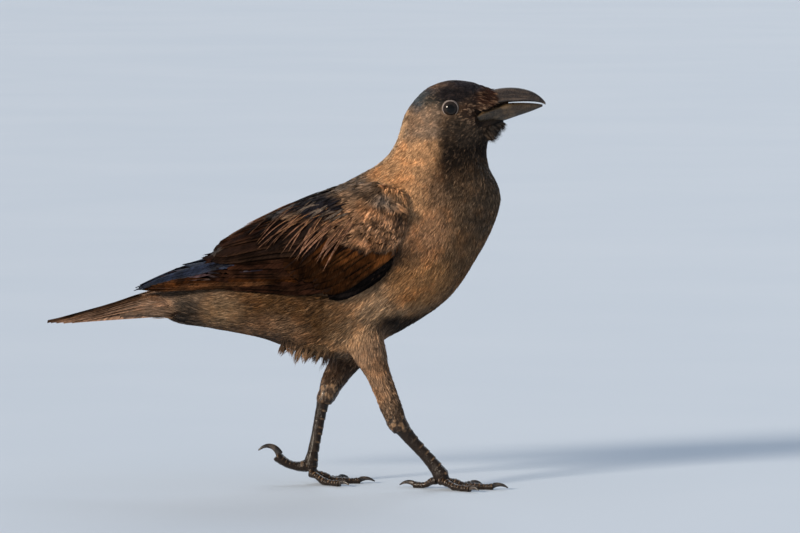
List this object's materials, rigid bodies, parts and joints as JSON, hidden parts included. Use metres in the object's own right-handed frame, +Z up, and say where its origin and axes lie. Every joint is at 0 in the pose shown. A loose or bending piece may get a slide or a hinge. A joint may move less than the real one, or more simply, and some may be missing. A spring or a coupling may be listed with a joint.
{
  "type": "crow",
  "caption": "House crow walking with one leg forward and one behind, wings folded and bill just closed: a still, life-size animal model that stands on its own feet.",
  "frame": {"origin": "on the floor, under the centre of the crow's bounding box", "axes": "+X forward towards the bill tip, +Y to the crow's left, +Z up"},
  "size_m": [0.3664, 0.108, 0.2986],
  "materials": {
    "body_feathers": "soft feathers, worn dark brown with a paler tan collar",
    "flight_feathers": "smooth feather vanes, dark brown with paler worn edges",
    "bill_horn": "satin grey-black horn",
    "claw_horn": "satin black horn",
    "leg_scales": "satin black-brown scales",
    "eye": "wet dark brown eye"
  },
  "bodies": {
    "root": {"bill_lower": "bill_horn", "bill_upper": "bill_horn", "claw_left_hind": "claw_horn", "claw_left_inner": "claw_horn", "claw_left_middle": "claw_horn", "claw_left_outer": "claw_horn", "claw_right_hind": "claw_horn", "claw_right_inner": "claw_horn", "claw_right_middle": "claw_horn", "claw_right_outer": "claw_horn", "eye_left": "eye", "eye_right": "eye", "head": "body_feathers", "neck": "body_feathers", "shank_left": "leg_scales", "shank_right": "leg_scales", "tail": "flight_feathers", "thigh_left": "body_feathers", "thigh_right": "body_feathers", "toe_left_hind": "leg_scales", "toe_left_inner": "leg_scales", "toe_left_middle": "leg_scales", "toe_left_outer": "leg_scales", "toe_right_hind": "leg_scales", "toe_right_inner": "leg_scales", "toe_right_middle": "leg_scales", "toe_right_outer": "leg_scales", "trunk": "body_feathers", "wing_left_coverts": "flight_feathers", "wing_left_primaries": "flight_feathers", "wing_left_secondaries": "flight_feathers", "wing_right_coverts": "flight_feathers", "wing_right_primaries": "flight_feathers", "wing_right_secondaries": "flight_feathers"}
  },
  "joints": []
}
